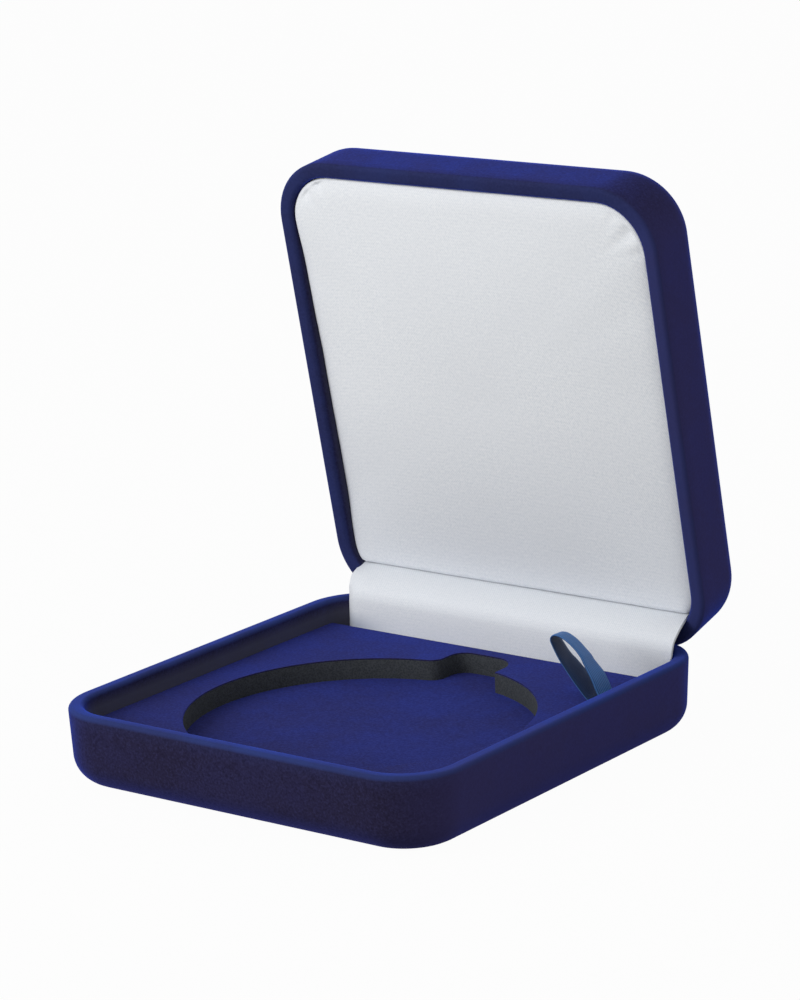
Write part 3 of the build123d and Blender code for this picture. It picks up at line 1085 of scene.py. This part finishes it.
# The pad's outline, with a point in each of its two rear corners
def padRing(inset):
    outline = [Vector(p) for p in panelOutline(case["wall"] + pad["fit"] + inset, pad["rear"] - inset)]
    threeSides = evenly(outline, pad["points"] - pad["rearPoints"])
    return threeSides + evenly([outline[-1], outline[0]], pad["rearPoints"])


# How deep the pad's edge lies at a place from front to back
def edgeDepth(y):
    marks = pad["edgeDepths"]
    for (before, first), (after, second) in zip(marks, marks[1:]):
        if y <= after * mm:
            share = clamped((y / mm - before) / (after - before))
            return (first + (second - first) * share * share * (3 - 2 * share)) * mm
    return marks[-1][1] * mm


# Height of the pad's face over its edge, at a place a distance in from the edge
def padRise(place, distance, edge):
    rear = clamped((edge.y - pad["rear"]) / pad["rearBlend"] + 1)
    near = min(distance / (pad["shoulder"] + (pad["rearShoulder"] - pad["shoulder"]) * rear), 1)
    steep, full = pad["shoulderCurve"]
    rise = pad["rise"] * (1 - (1 - near) ** steep) ** full
    insetX, insetY = pad["crownInset"]
    halfX, halfY = case["width"] / 2 - insetX, case["depth"] / 2 - insetY
    rise += pad["crown"] * (1 - (place.x / halfX) ** 2) * (1 - (place.y / halfY) ** 2)
    return rise + noise.noise(Vector((place.x, place.y, 0)) / pad["waveSize"]) * pad["wave"] * near


# How deep the corner gathers are at a point of the pad's face
def gatherDepth(x, y):
    hub = pad["gatherHub"]
    bend, often = pad["gatherBend"]
    radius = case["cornerRadius"] - case["wall"] + hub
    depth = 0.0
    for side, count, middle, spread, deep, reach in pad["gathers"]:
        away = Vector((side * x - cornerX + hub, -y - cornerY + hub))
        if away.x <= 0 or away.y <= 0:
            continue
        angle = math.atan2(away.y, away.x)
        inward = max(radius - away.length, 0)
        fold = 0.5 + 0.5 * math.cos(angle * count + bend * math.sin(angle * often))
        within = math.exp(-((angle - middle) / spread) ** 2)
        fading = math.exp(-inward / (reach * mm)) * min(inward / pad["gatherEdge"], 1)
        depth += deep * mm * fold ** pad["gatherPower"] * within * fading
    return depth


# The cushion before it swells: its sides up from the back, the shoulder, and the face
def cushionStart():
    rings = []
    draft = case["draft"] * pad["fitDepth"]
    edgeRing = padRing(draft)
    middle = sum(edgeRing, Vector((0, 0))) / len(edgeRing)
    for share in pad["sideShares"]:
        depths = [pad["back"] + (edgeDepth(p.y) - pad["back"]) * share for p in edgeRing]
        rings.append([Vector((p.x, p.y, lidRim + depth)) for p, depth in zip(edgeRing, depths)])
    for ring in range(pad["rings"]):
        if ring < pad["shoulderRings"]:
            inset = pad["shoulder"] * (1 - math.cos(ring / (pad["shoulderRings"] - 1) * math.pi / 2))
            places = padRing(draft + inset)
            distances = [inset] * len(places)
            shoulderRing = places
        else:
            share = (ring - pad["shoulderRings"] + 1) / (pad["rings"] - pad["shoulderRings"])
            places = [p.lerp(middle, share * pad["lastRing"]) for p in shoulderRing]
            distances = [pad["shoulder"] + (p - q).length for p, q in zip(places, shoulderRing)]
        points = []
        for edge, place, distance in zip(edgeRing, places, distances):
            spot = Vector((edge.x, edge.y, pad["rippleLevel"])) / pad["rippleSize"]
            ripple = noise.noise(spot) * pad["ripple"]
            near = math.exp(-distance / pad["rippleReach"])
            pull = (middle - edge).normalized() * (ripple + pad["ripple"]) * near
            felt = math.exp(-distance / pad["edgeFade"])
            deep = edgeDepth(edge.y) * felt + pad["faceDepth"] * (1 - felt)
            face = lidRim + deep - padRise(place, distance, edge)
            points.append(Vector((place.x + pull.x, place.y + pull.y, face)))
        rings.append(points)
    points = [point for ring in rings for point in ring]
    return meshObject("lidPad", points, ringFaces(len(rings), pad["points"]), 70), edgeRing


# The face swells like a filled cushion; its back, sides and edge stay where they are
def swell(piece, edgeRing):
    start = [vertex.co.copy() for vertex in piece.data.vertices]
    held = piece.vertex_groups.new(name="held")
    ring = kdtree.KDTree(len(edgeRing))
    for k, place in enumerate(edgeRing):
        ring.insert((place.x, place.y, 0), k)
    ring.balance()
    for k, point in enumerate(start):
        inward = ring.find((point.x, point.y, 0))[2]
        below = point.z > lidRim + edgeDepth(point.y) + puff["below"]
        side = below and inward < puff["sideReach"]
        back = point.z > lidRim + pad["back"] - puff["backReach"]
        weight = 1.0 if side or back else clamped(2 - inward / puff["pinned"])
        held.add([k], weight, "REPLACE")
    piece.data.transform(Matrix.Scale(puff["scale"], 4))
    cloth = piece.modifiers.new("swell", "CLOTH")
    settings = cloth.settings
    settings.quality = puff["quality"]
    settings.mass = puff["mass"]
    settings.use_pressure = True
    settings.uniform_pressure_force = puff["pressure"]
    settings.vertex_group_mass = "held"
    settings.effector_weights.gravity = 0
    cloth.collision_settings.use_collision = False
    cloth.point_cache.frame_start = 1
    cloth.point_cache.frame_end = puff["frames"]
    scene = bpy.context.scene
    for frameNumber in range(1, puff["frames"] + 1):
        scene.frame_set(frameNumber)
    applied(piece)
    scene.frame_set(1)
    piece.data.transform(Matrix.Scale(1 / puff["scale"], 4))
    furthest = max((vertex.co - before).length for vertex, before in zip(piece.data.vertices, start))
    share = min(puff["cap"] / furthest, 1)
    for vertex, before in zip(piece.data.vertices, start):
        vertex.co = before.lerp(vertex.co, share)
    print("pad swelled by up to", round(furthest * share / mm, 2), "mm")


# Its back and the middle of its face, filled in after the subdivision
def closeHoles(piece):
    mend(piece.data, lambda shape: bmesh.ops.holes_fill(shape, edges=shape.edges, sides=0))


# Painted shade on the pad, deeper towards the hinge
def padShade(point):
    return pad["dull"] * clamped((point.y - pad["shadeFrom"]) / pad["shadeLength"])


def makePad():
    piece, edgeRing = cushionStart()
    swell(piece, edgeRing)
    finer = piece.modifiers.new("finer", "SUBSURF")
    finer.levels = 1
    applied(piece)
    for vertex in piece.data.vertices:
        point = vertex.co
        if point.z < lidRim + edgeDepth(point.y) + pad["gatherBelow"]:
            point.z += gatherDepth(point.x, point.y)
    closeHoles(piece)
    smooth(piece, 70)
    paint(piece, "paintedShade", padShade)
    piece.data.transform(openUp)
    dress(piece, satin)
    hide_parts("lid_pad_satin", "lid_pad_foam")
    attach(piece, "lid")
    backPoint = openUp @ Vector((0, 0, lidRim + pad["back"]))
    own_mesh(piece)


makePad()
print("lid pad made")


# Bow springs of the hinges
spring = {
    "width": 5.0 * mm,
    "thick": 0.4 * mm,
    "steps": 6,
    "widthSteps": 4,
    # Y and Z along its middle, from the foot on the base's leaf to the foot on the lid's
    "route": [(45.75, 6.0), (45.87, 8.42), (45.45, 9.55), (43.3, 12.35), (43.1, 13.5), (43.65, 18.0),
              (44.55, 19.3), (48.75, 20.95), (49.5, 21.06), (55.2, 20.6), (55.7, 20.64), (58.35, 21.3)],
}


def makeSprings():
    section = throughPoints([Vector((y * mm, z * mm)) for y, z in spring["route"]], spring["steps"])
    for side in ("Left", "Right"):
        node = "hinge_spring_" + side.lower()
        low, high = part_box(node)
        middle = (low.x + high.x) / 2
        path = [Vector((middle, y, z)) for y, z in section]
        acrosses = [Vector((spring["width"], 0, 0))] * len(path)
        piece = bandMesh("hingeSpring" + side, path, acrosses, spring["thick"], spring["widthSteps"])
        dress(piece, steel)
        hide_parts(node)
        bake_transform(piece)


makeSprings()
print("hinge springs made")


# Floor, light and camera
stage = {
    "floorSize": 6.0,
    "floorColour": colour(0.4, 0.4, 0.4),
    "floorWhite": 0.97,  # how much of the floor's white is its own
    "white": colour(1, 1, 1),
    "worldLevel": 0.57,
    "keyPower": 2.0,
    "keySize": 0.35,
    "keyPlace": (-0.2, -0.45, 0.3),
    "keyTarget": (0, 0, 0.04),
    "cameraPlace": (0.44871, -0.58024, 0.24423),
    "cameraRight": (0.80068677, 0.59785677, -0.03831423),
    "cameraDown": (0.12122121, -0.22431474, -0.96694794),
    "cameraForward": (-0.58669082, 0.76957792, -0.25207876),
    "pictureHeight": 1000,
    "focalPixels": 3817,
    "sensor": 36,
}


# 1 for the rays that show the studio's white: straight, mirrored or through something clear
def whiteRays(tap):
    kinds = ("Is Camera Ray", "Is Glossy Ray", "Is Transmission Ray")
    camera, glossy, through = (tap.node("LightPath", {}, {}, out=kind) for kind in kinds)
    return camera.larger(glossy.larger(through))


# White to the camera, with the soft shade that the case casts
def floorSurface(tap, look):
    plain = tap.node("BsdfDiffuse", {}, {"Color": look["floorColour"]}, out="BSDF")
    white = tap.node("Emission", {}, {"Color": look["white"], "Strength": 1.0}, out="Emission")
    own = whiteRays(tap) * look["floorWhite"]
    return tap.node("MixShader", {}, {0: own, 1: plain, 2: white}, out="Shader")


def backdrop():
    world = bpy.data.worlds.new("studio")
    bpy.context.scene.world = world
    world.use_nodes = True
    world.node_tree.nodes.clear()
    tap = Tap(world.node_tree)
    strength = whiteRays(tap) * (1 - stage["worldLevel"]) + stage["worldLevel"]
    sky = tap.node("Background", {}, {"Color": stage["white"], "Strength": strength}, out="Background")
    tap.node("OutputWorld", {}, {"Surface": sky})


def keyLight():
    light = bpy.data.lights.new("key", "AREA")
    light.size = stage["keySize"]
    light.energy = stage["keyPower"]
    lamp = inScene("key", light)
    lamp.location = stage["keyPlace"]
    aim = Vector(stage["keyTarget"]) - Vector(stage["keyPlace"])
    lamp.rotation_euler = aim.to_track_quat("-Z", "Y").to_euler()
    lamp.visible_camera = False


def makeStage():
    size = stage["floorSize"]
    corners = [(-size, -size), (size, -size), (size, size), (-size, size)]
    floorPiece = meshObject("floor", [(x, y, 0) for x, y in corners], [(0, 1, 2, 3)])
    dress(floorPiece, newMaterial("floor", floorSurface, stage))
    backdrop()
    keyLight()
    camera = bpy.data.cameras.new("camera")
    camera.sensor_width = stage["sensor"]
    camera.lens = stage["focalPixels"] * stage["sensor"] / stage["pictureHeight"]
    camera.clip_start = 0.01
    camera.clip_end = 50
    rig = inScene("camera", camera)
    right, down, forward = (Vector(stage[key]) for key in ("cameraRight", "cameraDown", "cameraForward"))
    axes = Matrix((right, -down, -forward)).transposed().to_4x4()
    rig.matrix_world = Matrix.Translation(stage["cameraPlace"]) @ axes
    bpy.context.scene.camera = rig
    bpy.context.scene.view_settings.view_transform = "Standard"


makeStage()
print("stage made")
